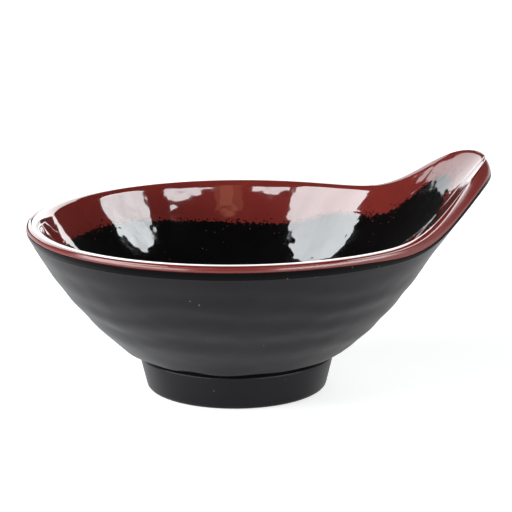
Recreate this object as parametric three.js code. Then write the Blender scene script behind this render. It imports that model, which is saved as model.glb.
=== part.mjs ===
// Lug bowl in millimetres, +Z up, with the lug towards +X.
// A thin black shell with a foot ring, a thicker red liner that makes the inside and the lip,
// and a black printed film let flush into the liner.
import * as THREE from 'three';

// Rim and wall
const rimRadius = 70.5;
const trimHeight = 54.4;
const lipRise = 4.6;
const lipCornerRise = 4;
const lipCornerRound = 0.4;
const rimEdgeFlareRatio = 0.75;
const rimEdgeLean = 2.2;
const wallFootRadius = 39.6;
const wallFootHeight = 15.4;
const wallBulge = 2.49;

// Layers of the wall, measured square to it
const shellAtFoot = 2.4;
const shellAtRim = 0.35;
const shellAtLug = 0.6;
const linerThickness = 4.5;
const linerAtLug = 3.6;
const filmThickness = 0.3;
const bond = 0.2;

// Floor of the bowl and the recess under it
const linerUnderside = 12.6;
const recessDepth = 9.3;
const recessFillet = 2;

// Foot ring
const footRadius = 31.1;
const footTopRadius = 33.9;
const footHeight = 11.7;
const footRingWidth = 4.6;
const footRound = 1.5;
const neckRadius = 32;
const neckChamfer = 1;
const wallEdgeRound = 0.6;

// Lug
const lugTipRadius = 87.9;
const lugLift = 18.9;
const lugPlanAngle = THREE.MathUtils.degToRad(29.1);
const lugPlanPower = 1.91;
const lugSideAngle = THREE.MathUtils.degToRad(27.9);
const lugSidePower = 2.86;
const lugStartRatio = 0.71;
const lugLipRise = 1.7;
const lugLipAngle = THREE.MathUtils.degToRad(36);
const lugEdgeLean = 2.1;

// Edge of the printed film, as shares of the way up the wall
const filmTopRatio = 0.78;
const filmTongueRatio = 0.17;
const filmTonguePlaceAngle = THREE.MathUtils.degToRad(11);
const filmTongueAngle = THREE.MathUtils.degToRad(12);
const filmTonguePower = 2.3;

// Throwing rings on the outside
const ringDepth = 0.14;
const ringCount = 4.5;
const ringWanderAngle = THREE.MathUtils.degToRad(14);
const ringWaves = 3;

// Fineness of the faces
const sides = 72;
const crowdingRatio = 0.35;
const outsideSteps = 24;
const layerSteps = 6;
const filmSteps = 5;
const floorSteps = 4;
const lipSteps = 3;
const edgeSteps = 2;
const roundSteps = 2;

// The outer wall is an arc from its foot to the trimmed edge, bowed out by wallBulge
const wallChord = new THREE.Vector2(rimRadius - wallFootRadius, trimHeight - wallFootHeight);
const wallArcRadius = (wallChord.lengthSq() / 4 + wallBulge ** 2) / (2 * wallBulge);
const wallOut = new THREE.Vector2(wallChord.y, -wallChord.x).normalize();
const wallArcCentre = new THREE.Vector2(wallFootRadius, wallFootHeight)
  .addScaledVector(wallChord, 0.5)
  .addScaledVector(wallOut, wallBulge - wallArcRadius);
const wallFootTurn = Math.atan2(wallFootHeight - wallArcCentre.y, wallFootRadius - wallArcCentre.x);
const wallTopTurn = Math.atan2(trimHeight - wallArcCentre.y, rimRadius - wallArcCentre.x);
const wallLength = wallArcRadius * (wallTopTurn - wallFootTurn);
const wallTurn = (up) => THREE.MathUtils.lerp(wallFootTurn, wallTopTurn, up);
const lugLean = -Math.tan(wallTurn(lugStartRatio));
const footLean = -Math.tan(wallFootTurn);
const wallAtRim = shellAtRim + bond + linerThickness;

// The trimmed edge reaches furthest out where its flare has turned upright
const rimReach = rimRadius + (rimEdgeFlareRatio * lipCornerRise) ** 2 / (4 * rimEdgeLean);

// The origin is under the middle of the whole length, so the bowl's own axis is off it
const axisX = (rimReach - lugTipRadius) / 2;

// A hump that fades with the angle from its middle
const bell = (turn, width, power) => Math.exp(-((turn / width) ** power));

// The angle between two directions round the axis
function turnFrom(around, middle) {
  const turn = around - middle;
  return Math.abs(Math.atan2(Math.sin(turn), Math.cos(turn)));
}

// How strongly the lug acts at an angle round the axis: outwards, upwards, and on its lip and edge
function lugAt(around) {
  const turn = turnFrom(around, 0);
  const plan = bell(turn, lugPlanAngle, lugPlanPower);
  return {
    plan,
    reach: (lugTipRadius - rimRadius) * plan,
    lift: lugLift * bell(turn, lugSideAngle, lugSidePower),
    lipRise: lugLipRise * bell(turn, lugLipAngle, lugSidePower),
    edgeFlare: rimEdgeFlareRatio * (1 - plan) ** 2,
    edgeLean: THREE.MathUtils.lerp(rimEdgeLean, lugEdgeLean, plan),
  };
}

// A point of the wall: up runs from 0 at its foot to 1 at the trimmed edge, depth is into the wall
function wallPoint(up, depth, around) {
  const lug = lugAt(around);
  const turn = wallTurn(up);
  const share = Math.max(0, (up - lugStartRatio) / (1 - lugStartRatio));
  const along = lugLean * lug.lift;
  const out = along * share + (lug.reach - along) * share ** 2;
  const rise = lug.lift * share + (lug.lipRise * share ** 2 * depth) / wallAtRim;
  return new THREE.Vector2(
    wallArcCentre.x + (wallArcRadius - depth) * Math.cos(turn) + out,
    wallArcCentre.y + (wallArcRadius - depth) * Math.sin(turn) + rise,
  );
}

// Depth of the shell's inner face, thinner under the lug than round the rim
function shellDepth(up, around) {
  const atTop = THREE.MathUtils.lerp(shellAtRim, shellAtLug, lugAt(around).plan);
  return THREE.MathUtils.lerp(shellAtFoot, atTop, up);
}

const linerOuterDepth = (up, around) => shellDepth(up, around) + bond;

// Depth of the bowl's inside, where the liner is thinner on the lug than round the rim
function insideDepth(up, around) {
  const liner = THREE.MathUtils.lerp(linerThickness, linerAtLug, lugAt(around).plan * up);
  return linerOuterDepth(up, around) + liner;
}

const filmBackDepth = (up, around) => insideDepth(up, around) - filmThickness;
const filmSeatDepth = (up, around) => filmBackDepth(up, around) - bond;

// Points up one face of the wall, between two heights
function wallFace(depth, from, to, steps, around) {
  return Array.from({ length: steps + 1 }, (_, step) => {
    const up = THREE.MathUtils.lerp(from, to, step / steps);
    return wallPoint(up, depth(up, around), around);
  });
}

// Points of a floor from the axis out to the foot of a wall face, level at the axis
function floorFace(depth, height, around) {
  const end = wallPoint(0, depth(0, around), around);
  const knee = new THREE.Vector2(end.x - (end.y - height) * footLean, height);
  return new THREE.QuadraticBezierCurve(new THREE.Vector2(0, height), knee, end).getPoints(floorSteps);
}

// Height of the trimmed edge, from the wall's outer face to the corner of the lip
const edgeHeight = (around) => lipCornerRise + lugAt(around).lipRise;

// A point of the trimmed edge, which flares on from the wall and leans in more and more towards the lip
function edgePoint(rise, around) {
  const lug = lugAt(around);
  const foot = wallPoint(1, 0, around);
  const out = lug.edgeFlare * rise - lug.edgeLean * (rise / edgeHeight(around)) ** 2;
  return new THREE.Vector2(foot.x + out, foot.y + rise);
}

// How far up the trimmed edge a face inside the wall comes out, if it goes on straight
function edgeRise(depth, around) {
  const top = wallPoint(1, depth(1, around), around);
  const below = wallPoint(1 - 1 / outsideSteps, depth(1 - 1 / outsideSteps, around), around);
  const foot = wallPoint(1, 0, around);
  const run = (top.x - below.x) / (top.y - below.y);
  const gap = foot.x - top.x + run * (top.y - foot.y);
  const lug = lugAt(around);
  const bend = lug.edgeLean / edgeHeight(around) ** 2;
  const turnIn = run - lug.edgeFlare;
  return (2 * gap) / (turnIn + Math.sqrt(turnIn ** 2 + 4 * bend * gap));
}

// Points up the trimmed edge, after the first and up to the last
function edgeFace(from, to, around) {
  return Array.from({ length: edgeSteps }, (_, step) => {
    return edgePoint(THREE.MathUtils.lerp(from, to, (step + 1) / edgeSteps), around);
  });
}

// Throwing rings: how far the outside sinks in, fading out at both ends of the wall
function ringGroove(up, around) {
  const phase = 2 * Math.PI * ringCount * up + ringWanderAngle * Math.sin(ringWaves * around);
  return ringDepth * Math.sin(Math.PI * up) * (1 - Math.cos(phase));
}

// Underside of the shell from the axis out: recess, foot ring, groove above it, and the wall's lower edge
function footFace() {
  const recessRadius = footRadius - footRingWidth;
  const footTaper = (footTopRadius - footRadius) / footHeight;
  const edge = new THREE.Vector2(wallFootRadius, wallFootHeight);
  const path = new THREE.Path();
  path.moveTo(0, recessDepth);
  path.lineTo(recessRadius - recessFillet, recessDepth);
  path.quadraticCurveTo(recessRadius, recessDepth, recessRadius, recessDepth - recessFillet);
  path.lineTo(recessRadius, 0);
  path.lineTo(footRadius - footRound, 0);
  path.quadraticCurveTo(footRadius, 0, footRadius + footTaper * footRound, footRound);
  path.lineTo(footTopRadius, footHeight);
  path.lineTo(neckRadius, footHeight + neckChamfer);
  path.lineTo(neckRadius + neckChamfer, wallFootHeight - wallEdgeRound - neckChamfer);
  path.lineTo(edge.x - wallEdgeRound, edge.y - wallEdgeRound);
  return path.getPoints(roundSteps);
}

// Rounded lip from the top of the trimmed edge over to the inside
function lipFace(around) {
  const corner = edgePoint(edgeHeight(around), around);
  const crown = corner.y + lipRise - lipCornerRise;
  const inside = wallPoint(1, insideDepth(1, around), around);
  const below = wallPoint(1 - 1 / outsideSteps, insideDepth(1, around), around);
  const over = inside.x + ((crown - inside.y) * (inside.x - below.x)) / (inside.y - below.y);
  const near = corner.x - lipCornerRound;
  const path = new THREE.Path();
  path.moveTo(corner.x, corner.y);
  path.quadraticCurveTo(near, crown, (near + over) / 2, crown);
  path.quadraticCurveTo(over, crown, inside.x, inside.y);
  return path.getPoints(lipSteps);
}

// Height of the film's edge on the wall: level all round, with a tongue up the lug
function filmEdge(around) {
  const turn = turnFrom(around, filmTonguePlaceAngle);
  return filmTopRatio + filmTongueRatio * bell(turn, filmTongueAngle, filmTonguePower);
}

function shellSection(around) {
  const outside = Array.from({ length: outsideSteps + 1 }, (_, step) => {
    const up = step / outsideSteps;
    return wallPoint(up, ringGroove(up, around), around);
  });
  return [
    ...footFace(),
    ...outside,
    ...edgeFace(0, edgeRise(shellDepth, around), around),
    ...wallFace(shellDepth, 1, 0, layerSteps, around),
    ...floorFace(shellDepth, linerUnderside - bond, around).reverse().slice(1),
  ];
}

function linerSection(around) {
  const edge = filmEdge(around);
  const seam = edgeRise(linerOuterDepth, around);
  const floorTop = linerUnderside + linerThickness;
  return [
    ...floorFace(linerOuterDepth, linerUnderside, around),
    ...wallFace(linerOuterDepth, 0, 1, layerSteps, around).slice(1),
    edgePoint(seam, around),
    ...edgeFace(seam, edgeHeight(around), around),
    ...lipFace(around).slice(1),
    ...wallFace(insideDepth, 1, edge, roundSteps, around).slice(1),
    ...wallFace(filmSeatDepth, edge, 0, filmSteps, around),
    ...floorFace(filmSeatDepth, floorTop - filmThickness - bond, around).reverse().slice(1),
  ];
}

function filmSection(around) {
  const edge = filmEdge(around) - bond / wallLength;
  const floorTop = linerUnderside + linerThickness;
  return [
    ...floorFace(filmBackDepth, floorTop - filmThickness, around),
    ...wallFace(filmBackDepth, 0, edge, filmSteps, around).slice(1),
    ...wallFace(insideDepth, edge, 0, filmSteps, around),
    ...floorFace(insideDepth, floorTop, around).reverse().slice(1),
  ];
}

// A section turned about the bowl's axis that changes on the way round, with steps crowded at the lug
function turned(section) {
  const start = section(0);
  const geometry = new THREE.LatheGeometry(start, sides);
  const place = geometry.attributes.position;
  for (let side = 0; side <= sides; side += 1) {
    const turn = (2 * Math.PI * side) / sides;
    const around = turn - crowdingRatio * Math.sin(turn);
    section(around).forEach((point, index) => {
      const x = axisX + point.x * Math.cos(around);
      place.setXYZ(side * start.length + index, x, point.x * Math.sin(around), point.y);
    });
  }
  geometry.computeVertexNormals();
  return geometry;
}

function piece(name, section, color, roughness) {
  const material = new THREE.MeshStandardMaterial({ color, roughness, metalness: 0 });
  const mesh = new THREE.Mesh(turned(section), material);
  mesh.name = name;
  return mesh;
}

const bowl = new THREE.Group();
bowl.add(piece('outer_shell', shellSection, 0x2a282a, 0.55));
bowl.add(piece('inner_liner', linerSection, 0x6e2f2b, 0.12));
bowl.add(piece('decal_overlay', filmSection, 0x120e0d, 0.1));

export default bowl;
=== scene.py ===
"""Lug bowl dressed over its CAD frame: matt black shell, glazed red liner and black printed film."""

import math

import bpy
import numpy as np
from mathutils import Matrix, Vector


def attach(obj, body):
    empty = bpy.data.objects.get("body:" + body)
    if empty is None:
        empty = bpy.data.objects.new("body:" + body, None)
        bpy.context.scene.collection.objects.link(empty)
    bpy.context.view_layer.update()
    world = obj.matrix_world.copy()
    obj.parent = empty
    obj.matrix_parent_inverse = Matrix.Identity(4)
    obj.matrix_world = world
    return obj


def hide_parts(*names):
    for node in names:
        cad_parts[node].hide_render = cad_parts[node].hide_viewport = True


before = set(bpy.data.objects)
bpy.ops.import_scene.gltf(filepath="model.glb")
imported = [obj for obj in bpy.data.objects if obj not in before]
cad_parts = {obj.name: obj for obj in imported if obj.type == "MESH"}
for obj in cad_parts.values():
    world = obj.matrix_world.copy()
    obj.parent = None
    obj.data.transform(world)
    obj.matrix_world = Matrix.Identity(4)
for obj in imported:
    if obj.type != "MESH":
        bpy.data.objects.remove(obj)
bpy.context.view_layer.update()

MM = 0.001

# Sizes of the bowl in millimetres, the same as in the CAD part
RIM_RADIUS = 70.5
TRIM_HEIGHT = 54.4
LIP_RISE = 4.6
LIP_CORNER_RISE = 4.0
LIP_CORNER_ROUND = 0.4
RIM_EDGE_FLARE = 0.75
RIM_EDGE_LEAN = 2.2
WALL_FOOT_RADIUS = 39.6
WALL_FOOT_HEIGHT = 15.4
WALL_BULGE = 2.49
SHELL_AT_FOOT = 2.4
SHELL_AT_RIM = 0.35
SHELL_AT_LUG = 0.6
LINER_THICKNESS = 4.5
LINER_AT_LUG = 3.6
BOND = 0.2
LINER_UNDERSIDE = 12.6
RECESS_DEPTH = 9.3
RECESS_FILLET = 2.0
FOOT_RADIUS = 31.1
FOOT_TOP_RADIUS = 33.9
FOOT_HEIGHT = 11.7
FOOT_RING_WIDTH = 4.6
FOOT_ROUND = 1.5
NECK_RADIUS = 32.0
NECK_CHAMFER = 1.0
WALL_EDGE_ROUND = 0.6

# Small rounds and gaps of the dressed edges in millimetres
RING_EDGE_ROUND = 0.3
FOOT_TOP_ROUND = 0.6
NECK_ROUND = 0.3
HEM_ROUND = 0.5
SHOULDER_ROUND = 0.08
SHELL_SEAM_ROUND = 0.05
LINER_SEAM_ROUND = 0.06
LIP_CORNER_GAP = 0.06

# Shares of the way up the wall: where the hem's waver ends, and where a face's slope at the rim is taken from
HEM_REACH = 0.16
JUST_BELOW_RIM = 1 - 1 / 24

# The waver of the glaze: its share at the lip, how fast it grows below it, and what it loses on the lug
GLAZE_AT_LIP = 0.5
GLAZE_GROWTH = 12
GLAZE_LOSS_ON_LUG = 0.45

# The lug
LUG_TIP_RADIUS = 87.9
LUG_LIFT = 18.9
LUG_PLAN_ANGLE, LUG_PLAN_POWER = math.radians(29.1), 1.91
LUG_SIDE_ANGLE, LUG_SIDE_POWER = math.radians(27.9), 2.86
LUG_START = 0.71
LUG_LIP_RISE, LUG_LIP_ANGLE = 1.7, math.radians(36)
LUG_EDGE_LEAN = 2.1
RIM_REACH = RIM_RADIUS + (RIM_EDGE_FLARE * LIP_CORNER_RISE) ** 2 / (4 * RIM_EDGE_LEAN)
AXIS_X = (RIM_REACH - LUG_TIP_RADIUS) / 2

# The printed film: how far up the inside its edge is, by the angle round the axis in degrees
FILM_EDGE = (
    (-180, 0.785), (-150, 0.79), (-120, 0.8), (-90, 0.77),
    (-60, 0.73), (-35, 0.75), (-20, 0.79), (-10, 0.825),
    (0, 0.872), (3, 0.89), (7, 0.94), (11.5, 0.958), (16.5, 0.94), (20, 0.897), (24, 0.86), (29, 0.838),
    (36, 0.834), (44, 0.834), (50, 0.825), (55, 0.8), (61, 0.73), (67, 0.702), (81, 0.698), (99, 0.723),
    (112, 0.754), (122, 0.778), (132, 0.79), (141, 0.79), (157, 0.781),
)

# The film's face above the liner's and its underside below it, in millimetres
FILM_PROUD = 0.015
FILM_SUNK = 0.15

# The clear film past the printed edge, and the highest that it goes, as shares of the way up the inside
FILM_MARGIN = 0.035
FILM_HIGHEST = 0.985

# How far the ink mark runs outside and inside the printed edge, in millimetres
INK_OUTSIDE, INK_INSIDE = -4, 12

# The strip above the film's edge that stray flecks lie on, as shares of the way up the inside
BED_START, BED_END, BED_ROWS = 0.01, 0.085, 9
STREWN_FADE = 0.014

# Fineness of the dressed meshes
COLUMNS = 480
FILM_COLUMNS = 720
CROWDING = 0.35
FLOOR_ROWS = 36
WALL_ROWS = 96
INSIDE_ROWS = 100
HIDDEN_WALL_ROWS = 11
HIDDEN_FLOOR_ROWS = 7

# The camera as fitted to the photograph, in degrees, millimetres and pixels
CAMERA_TURN = -4.34
CAMERA_ELEVATION = 13.31
CAMERA_ROLL = -0.296
CAMERA_AIM = (6.93, 0, 45.46)
CAMERA_DISTANCE = 641.6
FOCAL_LENGTH_PIXELS = 1859.3
PHOTO_PIXELS = 512
SENSOR_WIDTH = 36.0

# The studio: distances in metres
LIGHT_DISTANCE = 3.0
LIGHT_AIM_HEIGHT = 0.045
FLOOR_HALF_WIDTH = 6.0

# The floor's grey, and its glow as it is seen and as it is mirrored
FLOOR_GREY = 0.62
FLOOR_GLOW_SEEN = 0.6
FLOOR_GLOW_MIRRORED = 0.2

# Watts per square metre of a soft light for each unit of its brightness
WATTS_FOR_BRIGHTNESS = 4

# The outer wall as an arc
CHORD = np.array([RIM_RADIUS - WALL_FOOT_RADIUS, TRIM_HEIGHT - WALL_FOOT_HEIGHT])
ARC_RADIUS = (CHORD @ CHORD / 4 + WALL_BULGE**2) / (2 * WALL_BULGE)
ARC_OUT = np.array([CHORD[1], -CHORD[0]]) / np.hypot(*CHORD)
ARC_CENTRE = np.array([WALL_FOOT_RADIUS, WALL_FOOT_HEIGHT]) + CHORD / 2 + ARC_OUT * (WALL_BULGE - ARC_RADIUS)
FOOT_TURN = math.atan2(WALL_FOOT_HEIGHT - ARC_CENTRE[1], WALL_FOOT_RADIUS - ARC_CENTRE[0])
TOP_TURN = math.atan2(TRIM_HEIGHT - ARC_CENTRE[1], RIM_RADIUS - ARC_CENTRE[0])
WALL_LENGTH = ARC_RADIUS * (TOP_TURN - FOOT_TURN)
LUG_LEAN = -math.tan(FOOT_TURN + (TOP_TURN - FOOT_TURN) * LUG_START)
FOOT_LEAN = -math.tan(FOOT_TURN)
WALL_AT_RIM = SHELL_AT_RIM + BOND + LINER_THICKNESS


def bell(turn, width, power):
    """A hump that fades with the angle from its middle."""
    return np.exp(-((np.abs(turn) / width) ** power))


def turn_from_lug(around):
    """The angle between a direction round the axis and the lug's."""
    return np.abs(np.arctan2(np.sin(around), np.cos(around)))


class Section:
    """The bowl's section at each angle round its axis.

    A point is an array of shape (angles, 2), with a radius and a height in each row.
    """

    def __init__(self, columns):
        turn = np.arange(columns) * 2 * math.pi / columns
        self.around = turn - CROWDING * np.sin(turn)
        off = turn_from_lug(self.around)
        self.plan = bell(off, LUG_PLAN_ANGLE, LUG_PLAN_POWER)
        self.reach = (LUG_TIP_RADIUS - RIM_RADIUS) * self.plan
        self.lift = LUG_LIFT * bell(off, LUG_SIDE_ANGLE, LUG_SIDE_POWER)
        self.lip_rise = LUG_LIP_RISE * bell(off, LUG_LIP_ANGLE, LUG_SIDE_POWER)
        self.edge_flare = RIM_EDGE_FLARE * (1 - self.plan) ** 2
        self.edge_lean = RIM_EDGE_LEAN + (LUG_EDGE_LEAN - RIM_EDGE_LEAN) * self.plan
        self.edge_height = LIP_CORNER_RISE + self.lip_rise

    def level(self, radius, height):
        """A point that is the same at every angle."""
        return np.stack([np.full_like(self.around, radius), np.full_like(self.around, height)], -1)

    def wall(self, up, depth):
        """A point of the wall, at a share of the way up it and a depth into it."""
        turn = FOOT_TURN + (TOP_TURN - FOOT_TURN) * up
        share = np.maximum(0, (up - LUG_START) / (1 - LUG_START))
        along = LUG_LEAN * self.lift
        out = along * share + (self.reach - along) * share**2
        rise = self.lift * share + self.lip_rise * share**2 * depth / WALL_AT_RIM
        radius = ARC_CENTRE[0] + (ARC_RADIUS - depth) * np.cos(turn) + out
        height = ARC_CENTRE[1] + (ARC_RADIUS - depth) * np.sin(turn) + rise
        return np.stack(np.broadcast_arrays(radius, height), -1)

    def shell_depth(self, up):
        at_top = SHELL_AT_RIM + (SHELL_AT_LUG - SHELL_AT_RIM) * self.plan
        return SHELL_AT_FOOT + (at_top - SHELL_AT_FOOT) * up

    def liner_depth(self, up):
        return self.shell_depth(up) + BOND

    def inside_depth(self, up):
        return self.liner_depth(up) + LINER_THICKNESS + (LINER_AT_LUG - LINER_THICKNESS) * self.plan * up

    def floor(self, share, depth, height):
        """A point of a floor that is level at the axis and runs into the foot of a wall face."""
        end = self.wall(0, depth)
        knee = np.stack([end[:, 0] - (end[:, 1] - height) * FOOT_LEAN, np.full_like(self.around, height)], -1)
        return curve(self.level(0, height), knee, end, share)

    def edge(self, rise):
        """A point of the trimmed edge, which flares on from the wall and leans in towards the lip."""
        foot = self.wall(1, 0)
        out = self.edge_flare * rise - self.edge_lean * (rise / self.edge_height) ** 2
        return np.stack([foot[:, 0] + out, foot[:, 1] + rise], -1)

    def seam_rise(self, depth):
        """How far up the trimmed edge a face inside the wall comes out."""
        top, foot = self.wall(1, depth(1)), self.wall(1, 0)
        below = self.wall(JUST_BELOW_RIM, depth(JUST_BELOW_RIM))
        run = (top[:, 0] - below[:, 0]) / (top[:, 1] - below[:, 1])
        gap = foot[:, 0] - top[:, 0] + run * (top[:, 1] - foot[:, 1])
        bend = self.edge_lean / self.edge_height**2
        turn_in = run - self.edge_flare
        return 2 * gap / (turn_in + np.sqrt(turn_in**2 + 4 * bend * gap))

    def lip(self):
        """The corner of the lip, the two bends of its crown and its inner end."""
        corner = self.edge(self.edge_height)
        crown = corner[:, 1] + LIP_RISE - LIP_CORNER_RISE
        inside = self.wall(1, self.inside_depth(1))
        below = self.wall(JUST_BELOW_RIM, self.inside_depth(1))
        run = (inside[:, 0] - below[:, 0]) / (inside[:, 1] - below[:, 1])
        over = inside[:, 0] + (crown - inside[:, 1]) * run
        near = corner[:, 0] - LIP_CORNER_ROUND
        first = np.stack([near, crown], -1)
        middle = np.stack([(near + over) / 2, crown], -1)
        second = np.stack([over, crown], -1)
        return corner, first, middle, second, inside

    def glaze(self, up):
        """How much the glaze wavers: less towards the lip and out on the lug."""
        return np.minimum(1, GLAZE_AT_LIP + (1 - up) * GLAZE_GROWTH) * (1 - GLAZE_LOSS_ON_LUG * self.plan)

    def film_edge(self):
        """How far up the inside the print reaches: the listed edge with its corners softened."""
        step, width, reach = 0.25, 10, 24
        angle, up = np.array(FILM_EDGE).T
        fine = np.arange(-180, 180, step)
        line = np.interp(fine, angle, up, period=360)
        soften = np.exp(-((np.arange(-reach, reach + 1) / width) ** 2))
        closed = np.concatenate([line[-reach:], line, line[:reach]])
        line = np.convolve(closed, soften / soften.sum(), "valid")
        return np.interp(np.degrees(self.around), fine, line, period=360)


def curve(start, bend, end, share):
    """A point of a curve that leaves start towards bend and reaches end from it."""
    return (1 - share) ** 2 * start + 2 * share * (1 - share) * bend + share**2 * end


class Rows:
    """The rows of a turned mesh, from the axis out and round the section, with each row's marks."""

    def __init__(self):
        self.points = []
        self.marks = []

    def add(self, points, **marks):
        self.points.append(points)
        self.marks.append(marks)

    def rounded(self, before, corner, after, size, steps=3, **marks):
        """A corner with a small round on it."""
        def short(end):
            way = end - corner
            return corner + way * (size / np.maximum(np.linalg.norm(way, axis=1), 2 * size))[:, None]
        for share in np.linspace(0, 1, steps + 1):
            self.add(curve(short(before), corner, short(after), share), **marks)

    def mark(self, name):
        return np.stack([np.broadcast_to(m.get(name, 0.0), len(self.points[0])) for m in self.marks])


def turned(section, points):
    """Places in millimetres of rows of points that are turned about the bowl's axis."""
    radius, height = points[..., 0], points[..., 1]
    across = AXIS_X + radius * np.cos(section.around)
    return np.stack([across, radius * np.sin(section.around), height], -1)


def add_mark(mesh, name, domain, values):
    """A number of its own for each point or face of a mesh."""
    mark = mesh.attributes.new(name, "FLOAT", domain)
    mark.data.foreach_set("value", values.astype(np.float32))


def turned_mesh(name, section, rows, point_marks, face_marks=()):
    """A closed mesh from rows of points; both ends of the section are on the bowl's axis."""
    points = np.stack(rows.points)
    count, columns = points.shape[:2]
    place = turned(section, points)
    ring = place[1:-1].reshape(-1, 3)
    ends = np.stack([place[0].mean(0), place[-1].mean(0)])
    first, last = len(ring), len(ring) + 1
    here = np.arange(columns)
    there = (here + 1) % columns
    quads = []
    for row in range(count - 3):
        low, high = row * columns, (row + 1) * columns
        quads.append(np.stack([low + here, low + there, high + there, high + here], -1))
    top = (count - 3) * columns
    start = np.stack([np.full(columns, first), there, here], -1)
    finish = np.stack([np.full(columns, last), top + here, top + there], -1)
    faces = [*start.tolist(), *np.concatenate(quads).tolist(), *finish.tolist()]
    mesh = bpy.data.meshes.new(name)
    mesh.from_pydata((np.concatenate([ring, ends]) * MM).tolist(), [], faces)
    for mark in point_marks:
        values = rows.mark(mark)
        flat = np.concatenate([values[1:-1].ravel(), [values[0, 0], values[-1, 0]]])
        add_mark(mesh, mark, "POINT", flat)
    for mark in face_marks:
        values = rows.mark(mark)[:, 0]
        add_mark(mesh, mark, "FACE", np.repeat(values[:-1], columns))
    mesh.shade_smooth()
    return mesh


# Node trees

def node(tree, kind, values=None, **settings):
    """A node with its settings and input values; an input that is given a socket is linked to it."""
    made = tree.nodes.new(kind)
    for key, value in settings.items():
        setattr(made, key, value)
    for key, value in (values or {}).items():
        if isinstance(value, bpy.types.NodeSocket):
            tree.links.new(value, made.inputs[key])
        else:
            made.inputs[key].default_value = value
    return made


def calc(tree, operation, first, second=None, third=None, clamp=False):
    values = {i: v for i, v in enumerate((first, second, third)) if v is not None}
    return node(tree, "ShaderNodeMath", values, operation=operation, use_clamp=clamp).outputs[0]


def times(tree, first, second):
    return calc(tree, "MULTIPLY", first, second)


def vector_calc(tree, operation, first, second):
    key = "Scale" if operation == "SCALE" else 1
    return node(tree, "ShaderNodeVectorMath", {0: first, key: second}, operation=operation).outputs[0]


def new_tree(name, kind, inputs, outputs):
    """A node tree with named sockets, each with a type and a default, and its input and output nodes."""
    tree = bpy.data.node_groups.new(name, kind)
    for side, sockets in (("INPUT", inputs), ("OUTPUT", outputs)):
        for label, (sort, value) in sockets.items():
            socket = tree.interface.new_socket(label, in_out=side, socket_type="NodeSocket" + sort)
            if value is not None:
                socket.default_value = value
    return tree, tree.nodes.new("NodeGroupInput"), tree.nodes.new("NodeGroupOutput")


def named_mark(tree, name):
    """A mark of the mesh, by its name."""
    read = node(tree, "GeometryNodeInputNamedAttribute", {"Name": name}, data_type="FLOAT")
    return read.outputs["Attribute"]


def random_between(tree, low, high, seed):
    """A number of its own for each point, between two numbers."""
    values = {2: low, 3: high, "Seed": seed}
    return node(tree, "FunctionNodeRandomValue", values, data_type="FLOAT").outputs[1]


def end_tree(tree, geometry, finish, result):
    """The end of a tree: real faces with their finish."""
    real = node(tree, "GeometryNodeRealizeInstances", {0: geometry})
    painted = node(tree, "GeometryNodeSetMaterial", {"Geometry": real.outputs[0], "Material": finish})
    tree.links.new(painted.outputs[0], result.inputs[0])


def waver(tree, size, seed, stretch=(1, 1, 1)):
    """Soft noise about zero, whose swells are about size across."""
    place = node(tree, "GeometryNodeInputPosition").outputs[0]
    place = vector_calc(tree, "MULTIPLY", place, stretch)
    scale = calc(tree, "DIVIDE", 1.0, size)
    values = {"Vector": place, "W": seed, "Scale": scale, "Detail": 1.0}
    noise = node(tree, "ShaderNodeTexNoise", values, noise_dimensions="4D")
    return calc(tree, "SUBTRACT", noise.outputs[0], 0.5)


def thrown_surface_tree():
    """Throwing rings and shallow dents outside, an uneven glaze inside, and a wavering hem above the foot."""
    tree, given, result = new_tree(
        "thrown surface",
        "GeometryNodeTree",
        {
            "Geometry": ("Geometry", None),
            "Ring Count": ("Float", 4.5),
            "Ring Depth": ("Float", 0.00012),
            "Ring Wander": ("Float", 10.0),
            "Wander Size": ("Float", 0.06),
            "Dent Depth": ("Float", 0.0007),
            "Dent Size": ("Float", 0.016),
            "Glaze Depth": ("Float", 0.00018),
            "Glaze Size": ("Float", 0.005),
            "Ripple Depth": ("Float", 0.00004),
            "Ripple Size": ("Float", 0.002),
            "Hem Depth": ("Float", 0.0024),
            "Hem Size": ("Float", 0.016),
            "Seed": ("Float", 3.0),
            "Finish": ("Material", None),
        },
        {"Geometry": ("Geometry", None)},
    )
    g = given.outputs

    def mark(name):
        return named_mark(tree, name)

    wander = times(tree, waver(tree, g["Wander Size"], g["Seed"]), g["Ring Wander"])
    turns = times(tree, times(tree, mark("up"), g["Ring Count"]), 2 * math.pi)
    swell = calc(tree, "COSINE", calc(tree, "ADD", turns, wander))
    groove = times(tree, calc(tree, "SUBTRACT", swell, 1.0), g["Ring Depth"])
    dents = times(tree, waver(tree, g["Dent Size"], g["Seed"], (1, 1, 1.8)), g["Dent Depth"])
    outside = times(tree, calc(tree, "ADD", groove, dents), mark("outside"))
    flow = (1, 1, 0.8)
    glaze = times(tree, waver(tree, g["Glaze Size"], g["Seed"], flow), g["Glaze Depth"])
    ripple = times(tree, waver(tree, g["Ripple Size"], g["Seed"], flow), g["Ripple Depth"])
    inside = times(tree, calc(tree, "ADD", glaze, ripple), mark("inside"))
    normal = node(tree, "GeometryNodeInputNormal").outputs[0]
    swollen = vector_calc(tree, "SCALE", normal, calc(tree, "ADD", outside, inside))
    hem = times(tree, waver(tree, g["Hem Size"], g["Seed"]), times(tree, g["Hem Depth"], mark("hem")))
    lifted = vector_calc(tree, "ADD", swollen, node(tree, "ShaderNodeCombineXYZ", {"Z": hem}).outputs[0])
    moved = node(tree, "GeometryNodeSetPosition", {"Geometry": g["Geometry"], "Offset": lifted})
    end_tree(tree, moved.outputs[0], g["Finish"], result)
    return tree


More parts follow.
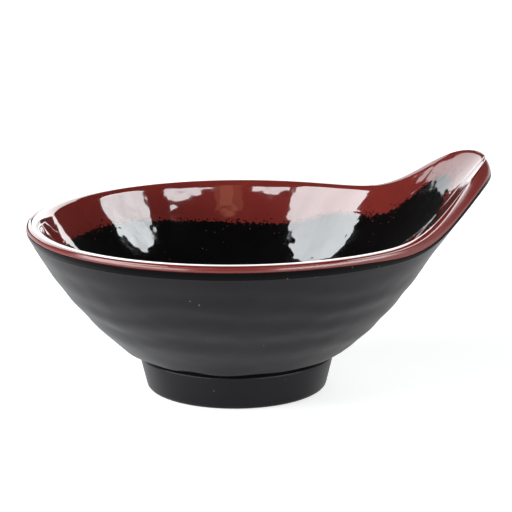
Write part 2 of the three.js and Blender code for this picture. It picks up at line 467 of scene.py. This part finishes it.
def ink_specks_tree():
    """Flecks of ink strewn over the bed they are given, thick where its strewing mark is high."""
    tree, given, result = new_tree(
        "ink specks",
        "GeometryNodeTree",
        {
            "Geometry": ("Geometry", None),
            "Density": ("Float", 1800000.0),
            "Smallest": ("Float", 0.35),
            "Largest": ("Float", 1.0),
            "Flattest": ("Float", 0.55),
            "Radius": ("Float", 0.00045),
            "Thickness": ("Float", 0.00005),
            "Seed": ("Int", 5),
            "Finish": ("Material", None),
        },
        {"Geometry": ("Geometry", None)},
    )
    g = given.outputs
    density = times(tree, named_mark(tree, "strewn"), g["Density"])
    scatter = {"Mesh": g["Geometry"], "Density": density, "Seed": g["Seed"]}
    spread = node(tree, "GeometryNodeDistributePointsOnFaces", scatter)
    disc = {"Vertices": 9, "Radius": g["Radius"], "Depth": g["Thickness"]}
    fleck = node(tree, "GeometryNodeMeshCylinder", disc)
    size = random_between(tree, g["Smallest"], g["Largest"], g["Seed"])
    shrink = calc(tree, "POWER", size, 2.0)
    squash = random_between(tree, g["Flattest"], 1.0, calc(tree, "ADD", g["Seed"], 1.0))
    sides = {"X": shrink, "Y": times(tree, shrink, squash), "Z": 1.0}
    scale = node(tree, "ShaderNodeCombineXYZ", sides).outputs[0]
    spin = random_between(tree, 0.0, 2 * math.pi, calc(tree, "ADD", g["Seed"], 2.0))
    about = node(tree, "FunctionNodeAxisAngleToRotation", {"Angle": spin}).outputs[0]
    rotation = node(
        tree,
        "FunctionNodeRotateRotation",
        {"Rotation": spread.outputs["Rotation"], "Rotate By": about},
        rotation_space="LOCAL",
    ).outputs[0]
    placed = node(
        tree,
        "GeometryNodeInstanceOnPoints",
        {
            "Points": spread.outputs["Points"],
            "Instance": fleck.outputs["Mesh"],
            "Rotation": rotation,
            "Scale": scale,
        },
    )
    end_tree(tree, placed.outputs[0], g["Finish"], result)
    return tree


def grown(name, mesh, tree, **inputs):
    """An object whose mesh is what the tree makes of the mesh, as plain faces."""
    body = bpy.data.objects.new(name, mesh)
    bpy.context.scene.collection.objects.link(body)
    modifier = body.modifiers.new(tree.name, "NODES")
    modifier.node_group = tree
    for item in tree.interface.items_tree:
        key = item.name.lower().replace(" ", "_")
        if item.item_type == "SOCKET" and item.in_out == "INPUT" and key in inputs:
            modifier[item.identifier] = inputs[key]
    graph = bpy.context.evaluated_depsgraph_get()
    shaped = body.evaluated_get(graph)
    plain = bpy.data.meshes.new_from_object(shaped, preserve_all_data_layers=True, depsgraph=graph)
    body.modifiers.remove(modifier)
    body.data = plain
    plain.name = name
    bpy.data.meshes.remove(mesh)
    return body


# Finishes

def new_material(name):
    material = bpy.data.materials.new(name)
    material.use_nodes = True
    tree = material.node_tree
    return material, tree, tree.nodes["Principled BSDF"]


def specks_group():
    """Scattered round specks: Specks is 1 on them, and Tint is a number of its own for each."""
    tree, given, result = new_tree(
        "scattered specks",
        "ShaderNodeTree",
        {"Spacing": ("Float", 0.002), "Size": ("Float", 0.12), "Share": ("Float", 0.3)},
        {"Specks": ("Float", 0.0), "Tint": ("Float", 0.0)},
    )
    place = node(tree, "ShaderNodeTexCoord").outputs["Object"]
    scale = calc(tree, "DIVIDE", 1.0, given.outputs["Spacing"])
    cells = node(tree, "ShaderNodeTexVoronoi", {"Vector": place, "Scale": scale}, feature="F1")
    parts = node(tree, "ShaderNodeSeparateColor", {0: cells.outputs["Color"]})
    chosen = calc(tree, "LESS_THAN", parts.outputs[0], given.outputs["Share"])
    size = times(tree, given.outputs["Size"], calc(tree, "ADD", 0.35, parts.outputs[1]))
    near = calc(tree, "SUBTRACT", 1.0, calc(tree, "DIVIDE", cells.outputs["Distance"], size), clamp=True)
    strength = times(tree, chosen, calc(tree, "MULTIPLY", near, 2.0, clamp=True))
    tree.links.new(strength, result.inputs["Specks"])
    tree.links.new(parts.outputs[2], result.inputs["Tint"])
    return tree


def mottle_group():
    """Slow cloudy change over the surface, from 0 to 1, with a finer grain in it."""
    tree, given, result = new_tree(
        "soft mottle",
        "ShaderNodeTree",
        {
            "Size": ("Float", 0.02),
            "Contrast": ("Float", 2.0),
            "Grain Size": ("Float", 0.0006),
            "Grain": ("Float", 0.2),
        },
        {"Cloud": ("Float", 0.0), "Grain": ("Float", 0.0)},
    )
    place = node(tree, "ShaderNodeTexCoord").outputs["Object"]
    wide_scale = calc(tree, "DIVIDE", 1.0, given.outputs["Size"])
    cloud = node(tree, "ShaderNodeTexNoise", {"Vector": place, "Scale": wide_scale, "Detail": 3.0})
    fine_scale = calc(tree, "DIVIDE", 1.0, given.outputs["Grain Size"])
    grain = node(tree, "ShaderNodeTexNoise", {"Vector": place, "Scale": fine_scale, "Detail": 2.0})
    fine = calc(tree, "SUBTRACT", grain.outputs[0], 0.5)
    wide = times(tree, calc(tree, "SUBTRACT", cloud.outputs[0], 0.5), given.outputs["Contrast"])
    both = calc(tree, "MULTIPLY_ADD", fine, given.outputs["Grain"], wide)
    tree.links.new(calc(tree, "ADD", both, 0.5, clamp=True), result.inputs["Cloud"])
    tree.links.new(grain.outputs[0], result.inputs["Grain"])
    return tree


def brushed_group():
    """Fine marks of a sanded edge, running up it, from 0 to 1."""
    tree, given, result = new_tree(
        "sanding marks",
        "ShaderNodeTree",
        {"Spacing": ("Float", 0.0005), "Length": ("Float", 0.006)},
        {"Marks": ("Float", 0.0)},
    )
    place = node(tree, "ShaderNodeTexCoord").outputs["Object"]
    across = calc(tree, "DIVIDE", 1.0, given.outputs["Spacing"])
    along = calc(tree, "DIVIDE", 1.0, given.outputs["Length"])
    scale = node(tree, "ShaderNodeCombineXYZ", {"X": across, "Y": across, "Z": along}).outputs[0]
    stretched = vector_calc(tree, "MULTIPLY", place, scale)
    noise = node(tree, "ShaderNodeTexNoise", {"Vector": stretched, "Scale": 1.0, "Detail": 2.0})
    tree.links.new(noise.outputs[0], result.inputs["Marks"])
    return tree


def group(tree, which, **values):
    made = tree.nodes.new("ShaderNodeGroup")
    made.node_tree = which
    for key, value in values.items():
        made.inputs[key.replace("_", " ").title()].default_value = value
    return made


def mark_of(tree, name):
    return node(tree, "ShaderNodeAttribute", attribute_name=name).outputs["Fac"]


def mixed(tree, share, first, second):
    """A colour between two colours."""
    mix = node(tree, "ShaderNodeMix", {"Factor": share}, data_type="RGBA")
    for socket, colour in ((mix.inputs[6], first), (mix.inputs[7], second)):
        if isinstance(colour, bpy.types.NodeSocket):
            tree.links.new(colour, socket)
        else:
            socket.default_value = (*colour, 1)
    return mix.outputs[2]


def between(tree, share, low, high):
    """A number between two numbers."""
    return node(tree, "ShaderNodeMapRange", {"Value": share, "To Min": low, "To Max": high}).outputs[0]


def mixed_value(tree, share, first, second):
    """A number between two numbers, which may change over the surface."""
    values = {"Factor": share, 2: first, 3: second}
    return node(tree, "ShaderNodeMix", values, data_type="FLOAT").outputs[0]


def srgb(red, green, blue):
    """The linear colour of a colour that is given as it looks, from 0 to 255."""
    def linear(value):
        value /= 255
        return value / 12.92 if value <= 0.04045 else ((value + 0.055) / 1.055) ** 2.4
    return linear(red), linear(green), linear(blue)


def liner_red_group(specks, mottle):
    """The liner's own red, slightly cloudy and flecked."""
    tree, _, result = new_tree("liner red", "ShaderNodeTree", {}, {"Color": ("Color", None)})
    cloud = group(tree, mottle, size=0.014, contrast=1.6, grain_size=0.0008, grain=0.6)
    flecks = group(tree, specks, spacing=0.0022, size=0.07, share=0.35)
    red = mixed(tree, cloud.outputs["Cloud"], srgb(93, 29, 27), srgb(111, 37, 31))
    fleck_tone = mixed(tree, flecks.outputs["Tint"], srgb(60, 20, 18), srgb(178, 92, 76))
    red = mixed(tree, times(tree, flecks.outputs["Specks"], 0.55), red, fleck_tone)
    tree.links.new(red, result.inputs["Color"])
    return tree


def glazed(shader):
    """A clear, hard glaze over the colour."""
    shader.inputs["Coat Roughness"].default_value = 0.02
    shader.inputs["Coat IOR"].default_value = 1.55


def matt_black(specks, mottle, brushed):
    """Matt black moulding, half polished where the edge was trimmed."""
    material, tree, shader = new_material("matt black moulding")
    cloud = group(tree, mottle, size=0.018, contrast=2.2, grain_size=0.0004, grain=0.5)
    dust = group(tree, specks, spacing=0.003, size=0.08, share=0.1)
    marks = group(tree, brushed, spacing=0.0004, length=0.003)
    trimmed = mark_of(tree, "trimmed")
    tone = mixed(tree, cloud.outputs["Cloud"], srgb(13, 10, 14), srgb(20, 16, 21))
    tone = mixed(tree, trimmed, tone, srgb(4, 4, 5))
    dusty = mixed(tree, times(tree, dust.outputs["Specks"], 0.5), tone, srgb(158, 150, 146))
    tree.links.new(dusty, shader.inputs["Base Color"])
    matt = between(tree, cloud.outputs["Cloud"], 0.32, 0.42)
    polished = between(tree, marks.outputs["Marks"], 0.18, 0.26)
    gloss = mixed_value(tree, trimmed, matt, polished)
    tree.links.new(gloss, shader.inputs["Roughness"])
    tree.links.new(between(tree, trimmed, 0.68, 0.0), shader.inputs["Coat Weight"])
    shader.inputs["Coat Roughness"].default_value = 0.37
    shader.inputs["Coat IOR"].default_value = 1.34
    shader.inputs["Specular IOR Level"].default_value = 0.08
    scored = times(tree, marks.outputs["Marks"], trimmed)
    height = calc(tree, "MULTIPLY_ADD", cloud.outputs["Grain"], 0.5, scored)
    bump = node(tree, "ShaderNodeBump", {"Height": height, "Strength": 0.1, "Distance": 0.0001})
    tree.links.new(bump.outputs[0], shader.inputs["Normal"])
    return material


def glazed_red(liner_red, brushed):
    """Dark red moulding under a clear glaze, sanded to a satin on its trimmed edge."""
    material, tree, shader = new_material("glazed red moulding")
    marks = group(tree, brushed, spacing=0.0003, length=0.004)
    trimmed = mark_of(tree, "trimmed")
    sanded = mixed(tree, marks.outputs["Marks"], srgb(98, 36, 33), srgb(112, 44, 40))
    red = mixed(tree, trimmed, group(tree, liner_red).outputs["Color"], sanded)
    tree.links.new(red, shader.inputs["Base Color"])
    satin = between(tree, marks.outputs["Marks"], 0.17, 0.24)
    gloss = mixed_value(tree, trimmed, 0.07, satin)
    tree.links.new(gloss, shader.inputs["Roughness"])
    tree.links.new(between(tree, trimmed, 1.0, 0.0), shader.inputs["Coat Weight"])
    shader.inputs["Specular IOR Level"].default_value = 0.6
    glazed(shader)
    scored = times(tree, marks.outputs["Marks"], trimmed)
    bump = node(tree, "ShaderNodeBump", {"Height": scored, "Strength": 0.04, "Distance": 0.0001})
    tree.links.new(bump.outputs[0], shader.inputs["Normal"])
    return material


def printed_black(specks, mottle, liner_red):
    """Black ink on a clear film under the same glaze, ragged and spattered at its edge and finely dusted."""
    material, tree, shader = new_material("printed black film")
    cloud = group(tree, mottle, size=0.01, contrast=1.5, grain_size=0.0007, grain=0.4)
    dust = group(tree, specks, spacing=0.0016, size=0.1, share=0.3)
    black = mixed(tree, cloud.outputs["Cloud"], srgb(2, 1, 2), srgb(8, 6, 6))
    dust_tone = mixed(tree, dust.outputs["Tint"], srgb(96, 84, 70), srgb(150, 146, 142))
    black = mixed(tree, times(tree, dust.outputs["Specks"], 0.7), black, dust_tone)
    ink = mark_of(tree, "ink")
    place = node(tree, "ShaderNodeTexCoord").outputs["Object"]
    values = {"Vector": place, "Scale": 700.0, "Detail": 4.0, "Roughness": 0.65}
    rough = node(tree, "ShaderNodeTexNoise", values)
    torn = calc(tree, "MULTIPLY_ADD", calc(tree, "SUBTRACT", rough.outputs[0], 0.5), 5.0, ink)
    solid = node(tree, "ShaderNodeMapRange", {"Value": torn, "From Min": -0.12, "From Max": 0.12}).outputs[0]
    drops = group(tree, specks, spacing=0.0009, size=0.5)
    straying = calc(tree, "EXPONENT", times(tree, ink, 0.9))
    tree.links.new(times(tree, straying, 0.6), drops.inputs["Share"])
    gaps = group(tree, specks, spacing=0.0008, size=0.4)
    missing = calc(tree, "EXPONENT", times(tree, ink, -0.8))
    tree.links.new(times(tree, missing, 0.45), gaps.inputs["Share"])
    kept = calc(tree, "SUBTRACT", solid, gaps.outputs["Specks"])
    inked = calc(tree, "MAXIMUM", kept, drops.outputs["Specks"], clamp=True)
    tone = mixed(tree, inked, group(tree, liner_red).outputs["Color"], black)
    tree.links.new(tone, shader.inputs["Base Color"])
    tree.links.new(between(tree, cloud.outputs["Cloud"], 0.05, 0.09), shader.inputs["Roughness"])
    shader.inputs["Coat Weight"].default_value = 1.0
    glazed(shader)
    return material


def ink_black(mottle):
    """Stray flecks of the same ink under the glaze."""
    material, tree, shader = new_material("black ink flecks")
    cloud = group(tree, mottle, size=0.002, contrast=2.0, grain_size=0.0005, grain=0.4)
    tone = mixed(tree, cloud.outputs["Cloud"], srgb(9, 6, 6), srgb(34, 16, 15))
    tree.links.new(tone, shader.inputs["Base Color"])
    shader.inputs["Roughness"].default_value = 0.07
    shader.inputs["Coat Weight"].default_value = 1.0
    glazed(shader)
    return material


# The three layers

def shell_rows(s):
    """The black shell: recess, foot ring, groove, outside, trimmed edge, and its hidden inner face."""
    rows = Rows()
    recess = FOOT_RADIUS - FOOT_RING_WIDTH
    taper = (FOOT_TOP_RADIUS - FOOT_RADIUS) / FOOT_HEIGHT
    for radius in np.linspace(0, recess - RECESS_FILLET, 7):
        rows.add(s.level(radius, RECESS_DEPTH))
    fillet_inner = s.level(recess - RECESS_FILLET, RECESS_DEPTH)
    fillet_outer = s.level(recess, RECESS_DEPTH - RECESS_FILLET)
    for share in np.linspace(0, 1, 6)[1:]:
        rows.add(curve(fillet_inner, s.level(recess, RECESS_DEPTH), fillet_outer, share))
    ring_inner, ring_outer = s.level(recess, 0), s.level(FOOT_RADIUS - FOOT_ROUND, 0)
    rows.rounded(s.level(recess, RECESS_DEPTH), ring_inner, ring_outer, RING_EDGE_ROUND)
    side_low = s.level(FOOT_RADIUS + taper * FOOT_ROUND, FOOT_ROUND)
    for share in np.linspace(0, 1, 7):
        rows.add(curve(ring_outer, s.level(FOOT_RADIUS, 0), side_low, share))
    foot_top = s.level(FOOT_TOP_RADIUS, FOOT_HEIGHT)
    neck_low = s.level(NECK_RADIUS, FOOT_HEIGHT + NECK_CHAMFER)
    neck_high = s.level(NECK_RADIUS + NECK_CHAMFER, WALL_FOOT_HEIGHT - WALL_EDGE_ROUND - NECK_CHAMFER)
    hem = s.level(WALL_FOOT_RADIUS - WALL_EDGE_ROUND, WALL_FOOT_HEIGHT - WALL_EDGE_ROUND)
    for share in np.linspace(0, 1, 9)[1:-1]:
        rows.add(side_low + (foot_top - side_low) * share)
    rows.rounded(side_low, foot_top, neck_low, FOOT_TOP_ROUND, steps=5)
    rows.rounded(foot_top, neck_low, neck_high, NECK_ROUND)
    rows.rounded(neck_low, neck_high, hem, NECK_ROUND, hem=0.3)
    rows.add((neck_high + hem) / 2, hem=0.7)
    rows.rounded(neck_high, hem, s.wall(0.02, 0), HEM_ROUND, hem=1.0)
    for up in np.linspace(0, 1, WALL_ROWS + 1)[2:-1]:
        fade = max(0.0, 1 - up / HEM_REACH) ** 2
        rows.add(s.wall(up, 0), up=up, outside=math.sin(math.pi * up) ** 0.7, hem=fade)
    seam = s.seam_rise(s.shell_depth)
    shoulder, seam_end = s.wall(1, 0), s.edge(seam)
    below = s.wall(1 - 1 / WALL_ROWS, 0)
    rows.rounded(below, shoulder, seam_end, SHOULDER_ROUND, steps=2, up=1.0, trimmed=1.0)
    for share in (0.25, 0.5, 0.75):
        rows.add(s.edge(seam * share), up=1.0, trimmed=1.0)
    inner = s.wall(1, s.shell_depth(1))
    rows.rounded(shoulder, seam_end, inner, SHELL_SEAM_ROUND, steps=2, up=1.0, trimmed=1.0)
    for up in np.linspace(1, 0, HIDDEN_WALL_ROWS):
        rows.add(s.wall(up, s.shell_depth(up)), up=up)
    for share in np.linspace(1, 0, HIDDEN_FLOOR_ROWS)[1:]:
        rows.add(s.floor(share, s.shell_depth(0), LINER_UNDERSIDE - BOND))
    return rows


def liner_rows(s):
    """The red liner: hidden outer face, trimmed edge, rounded lip and the glazed inside."""
    rows = Rows()
    for share in np.linspace(0, 1, HIDDEN_FLOOR_ROWS):
        rows.add(s.floor(share, s.liner_depth(0), LINER_UNDERSIDE))
    for up in np.linspace(0, 1, HIDDEN_WALL_ROWS)[1:]:
        rows.add(s.wall(up, s.liner_depth(up)))
    seam = s.seam_rise(s.liner_depth)
    corner, first, middle, second, inner = s.lip()
    seam_end = s.edge(seam)
    outer = s.wall(1, s.liner_depth(1))
    rows.rounded(outer, seam_end, corner, LINER_SEAM_ROUND, steps=2, trimmed=1.0)
    for share in np.linspace(0, 1, 8)[1:-1]:
        rows.add(s.edge(seam + (s.edge_height - seam) * share), trimmed=1.0)
    rows.add(s.edge(s.edge_height - LIP_CORNER_GAP), trimmed=1.0)
    for share in np.linspace(0, 1, 11):
        rows.add(curve(corner, first, middle, share))
    for share in np.linspace(0, 1, 13)[1:]:
        rows.add(curve(middle, second, inner, share), inside=s.glaze(1) * share**2)
    for up in np.linspace(1, 0, INSIDE_ROWS + 1)[1:]:
        rows.add(s.wall(up, s.inside_depth(up)), up=up, inside=s.glaze(up))
    top = LINER_UNDERSIDE + LINER_THICKNESS
    for share in np.linspace(1, 0, FLOOR_ROWS)[1:]:
        rows.add(s.floor(share, s.inside_depth(0), top), inside=s.glaze(0) * share)
    return rows


def film_rows(s):
    """The printed film: underside just below the liner's face, face just above it, let in at the edge."""
    rows = Rows()
    top = LINER_UNDERSIDE + LINER_THICKNESS
    level = s.film_edge()
    edge = np.minimum(level + FILM_MARGIN, FILM_HIGHEST)
    for share in np.linspace(0, 1, 6):
        rows.add(s.floor(share, s.inside_depth(0) - FILM_SUNK, top - FILM_SUNK))
    for share in np.linspace(0, 1, HIDDEN_WALL_ROWS)[1:]:
        up = edge * share
        rows.add(s.wall(up, s.inside_depth(up) - FILM_SUNK), inside=s.glaze(up) * share)
    fine_rows, wide_rows = np.linspace(1, 0.9, 18), np.linspace(0.89, 0, 64)
    for step, share in enumerate([*fine_rows, *wide_rows]):
        up = edge * share
        proud = FILM_PROUD * min(1.0, -1 + step / 2)
        ink = np.clip((level - up) * WALL_LENGTH, INK_OUTSIDE, INK_INSIDE)
        rows.add(s.wall(up, s.inside_depth(up) + proud), up=up, inside=s.glaze(up), ink=ink)
    for share in np.linspace(1, 0, FLOOR_ROWS)[1:]:
        point = s.floor(share, s.inside_depth(0) + FILM_PROUD, top + FILM_PROUD)
        rows.add(point, inside=s.glaze(0) * share, ink=INK_INSIDE)
    return rows


def speck_bed(s):
    """A strip of the glazed inside just above the film's edge, for flecks of ink."""
    level = s.film_edge()
    reach = np.linspace(BED_START, BED_END, BED_ROWS)
    columns = len(s.around)
    place, strewn, glazed_over = [], [], []
    for step in reach:
        up = np.minimum(level + step, FILM_HIGHEST)
        point = s.wall(up, s.inside_depth(up))
        place.append(turned(s, point))
        strewn.append(np.full(columns, math.exp(-step / STREWN_FADE)))
        glazed_over.append(s.glaze(up))
    here = np.arange(columns)
    there = (here + 1) % columns
    faces = []
    for row in range(BED_ROWS - 1):
        low, high = row * columns, (row + 1) * columns
        faces.append(np.stack([low + here, high + here, high + there, low + there], -1))
    mesh = bpy.data.meshes.new("speck bed")
    mesh.from_pydata((np.concatenate(place) * MM).tolist(), [], np.concatenate(faces).tolist())
    for mark, values in (("strewn", strewn), ("inside", glazed_over)):
        add_mark(mesh, mark, "POINT", np.concatenate(values))
    return mesh


specks, mottle, brushed = specks_group(), mottle_group(), brushed_group()
black_finish = matt_black(specks, mottle, brushed)
liner_red = liner_red_group(specks, mottle)
red_finish = glazed_red(liner_red, brushed)
film_finish = printed_black(specks, mottle, liner_red)
fleck_finish = ink_black(mottle)
thrown = thrown_surface_tree()
round_section, film_section = Section(COLUMNS), Section(FILM_COLUMNS)

marks = ("up", "outside", "inside", "hem")
shell_mesh = turned_mesh("black_shell", round_section, shell_rows(round_section), marks, ("trimmed",))
liner_mesh = turned_mesh("red_liner", round_section, liner_rows(round_section), marks, ("trimmed",))
film_mesh = turned_mesh("printed_film", film_section, film_rows(film_section), (*marks, "ink"))

black_shell = grown("black_shell", shell_mesh, thrown, finish=black_finish)
red_liner = grown("red_liner", liner_mesh, thrown, finish=red_finish)
printed_film = grown("printed_film", film_mesh, thrown, finish=film_finish)
fleck_bed = grown("fleck_bed", speck_bed(round_section), thrown)
ink_flecks = grown("ink_flecks", fleck_bed.data.copy(), ink_specks_tree(), finish=fleck_finish)
bpy.data.meshes.remove(fleck_bed.data)

for piece, cad_node in (
    (black_shell, "outer_shell"),
    (red_liner, "inner_liner"),
    (printed_film, "decal_overlay"),
    (ink_flecks, "decal_overlay"),
):
    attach(piece, "root")
    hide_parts(cad_node)


# Floor, light and camera

def pale_floor():
    mesh = bpy.data.meshes.new("pale floor")
    half = FLOOR_HALF_WIDTH
    corners = [(-half, -half, 0), (half, -half, 0), (half, half, 0), (-half, half, 0)]
    mesh.from_pydata(corners, [], [(0, 1, 2, 3)])
    floor = bpy.data.objects.new("pale_floor", mesh)
    bpy.context.scene.collection.objects.link(floor)
    material, tree, shader = new_material("pale floor")
    shader.inputs["Base Color"].default_value = (FLOOR_GREY, FLOOR_GREY, FLOOR_GREY, 1)
    shader.inputs["Roughness"].default_value = 0.9
    shader.inputs["Specular IOR Level"].default_value = 0.0
    shader.inputs["Emission Color"].default_value = (1, 1, 1, 1)
    path = node(tree, "ShaderNodeLightPath")
    mirrored = calc(tree, "MAXIMUM", path.outputs["Is Glossy Ray"], path.outputs["Is Transmission Ray"])
    glow = times(tree, path.outputs["Is Camera Ray"], FLOOR_GLOW_SEEN)
    seen = calc(tree, "MULTIPLY_ADD", mirrored, FLOOR_GLOW_MIRRORED, glow)
    tree.links.new(seen, shader.inputs["Emission Strength"])
    mesh.materials.append(material)


def studio_world():
    """A dim room, a little lighter low down."""
    world = bpy.data.worlds.new("studio")
    bpy.context.scene.world = world
    world.use_nodes = True
    tree = world.node_tree
    place = node(tree, "ShaderNodeTexCoord").outputs["Generated"]
    height = node(tree, "ShaderNodeSeparateXYZ", {0: place}).outputs["Z"]
    values = {"Value": height, "From Min": 0.0, "From Max": 0.4, "To Min": 0.03, "To Max": 0.02}
    dim = node(tree, "ShaderNodeMapRange", values)
    tree.links.new(dim.outputs[0], tree.nodes["Background"].inputs["Strength"])
    tree.nodes["Background"].inputs["Color"].default_value = (1, 1, 1, 1)


def softbox(
    name, azimuth, elevation, width, height, radiance,
    roll=0.0, shape="RECTANGLE", colour=(1, 1, 1), cloud=0.0,
):
    """A soft light as seen from the bowl: its place, width and height are angles in degrees."""
    a, e = math.radians(azimuth), math.radians(elevation)
    way = Vector((math.sin(a) * math.cos(e), -math.cos(a) * math.cos(e), math.sin(e)))
    light = bpy.data.lights.new(name, "AREA")
    light.shape = shape
    light.size = 2 * LIGHT_DISTANCE * math.tan(math.radians(width) / 2)
    light.size_y = 2 * LIGHT_DISTANCE * math.tan(math.radians(height) / 2)
    area = light.size * light.size_y * (math.pi / 4 if shape in ("DISK", "ELLIPSE") else 1)
    light.energy = WATTS_FOR_BRIGHTNESS * area * radiance
    light.color = colour
    if cloud:
        light.use_nodes = True
        tree = light.node_tree
        place = node(tree, "ShaderNodeNewGeometry").outputs["Parametric"]
        values = {"Vector": place, "Scale": 2.2, "Detail": 3.0, "Distortion": 1.2}
        noise = node(tree, "ShaderNodeTexNoise", values)
        span = {"From Min": 0.3, "From Max": 0.7, "To Min": 1 - cloud, "To Max": 1 + cloud}
        patchy = node(tree, "ShaderNodeMapRange", {"Value": noise.outputs[0], **span})
        tree.links.new(patchy.outputs[0], tree.nodes["Emission"].inputs["Strength"])
    lamp = bpy.data.objects.new(name, light)
    lamp.location = Vector((AXIS_X * MM, 0, LIGHT_AIM_HEIGHT)) + way * LIGHT_DISTANCE
    lamp.rotation_mode = "QUATERNION"
    twist = Matrix.Rotation(math.radians(roll), 3, "Z").to_quaternion()
    lamp.rotation_quaternion = way.to_track_quat("Z", "Y") @ twist
    lamp.visible_camera = False
    bpy.context.scene.collection.objects.link(lamp)


def photo_camera():
    """The camera as fitted to the photograph: where it stands, where it looks and how it is rolled."""
    turn = Matrix.Rotation(math.radians(CAMERA_TURN), 3, "Z")
    elevation, roll = math.radians(CAMERA_ELEVATION), math.radians(CAMERA_ROLL)
    forward = Vector((0, math.cos(elevation), -math.sin(elevation)))
    level, upright = Vector((1, 0, 0)), Vector((0, math.sin(elevation), math.cos(elevation)))
    right = math.cos(roll) * level + math.sin(roll) * upright
    up = math.cos(roll) * upright - math.sin(roll) * level
    eye = Vector(CAMERA_AIM) - forward * CAMERA_DISTANCE
    place = (turn @ eye + Vector((AXIS_X, 0, 0))) * MM
    axes = Matrix((turn @ right, turn @ up, turn @ -forward)).transposed()
    lens = bpy.data.cameras.new("camera")
    lens.sensor_width = SENSOR_WIDTH
    lens.lens = SENSOR_WIDTH * FOCAL_LENGTH_PIXELS / PHOTO_PIXELS
    lens.clip_start, lens.clip_end = 0.05, 50
    camera = bpy.data.objects.new("camera", lens)
    camera.matrix_world = Matrix.Translation(place) @ axes.to_4x4()
    bpy.context.scene.collection.objects.link(camera)
    bpy.context.scene.camera = camera


pale_floor()
studio_world()
cool = (0.94, 0.98, 1.0)
warm = (1.0, 0.45, 0.27)
softbox("left round box", -78, 36, 49, 49, 5.2, shape="DISK", colour=cool, cloud=0.12)
softbox("right round box", 83.5, 36.5, 28, 28, 5.2, shape="DISK", colour=cool, cloud=0.3)
softbox("front left strip", -31, 47.5, 20, 4, 5.0, colour=cool)
softbox("front right strip", 30, 46.5, 29, 4, 5.0, colour=cool)
softbox("front right spot", 50, 50.5, 4, 1.5, 5.0, colour=cool)
softbox("front left card", -61.5, 7, 65, 12, 7.3)
softbox("front right card", 48, 7, 60, 12, 8.2)
softbox("back left panel", -162, 25.6, 34, 22, 1.4, roll=32, colour=cool)
softbox("back panel", 163.5, 25, 43, 30, 2.2)
softbox("back low panel", 178, 5, 24, 10, 0.9)
softbox("front lamp", 2, 52, 14, 11, 0.35, colour=warm)
softbox("front lamp middle", 3, 52, 5, 9, 0.4, colour=warm)
photo_camera()
bpy.context.scene.view_settings.view_transform = "Standard"
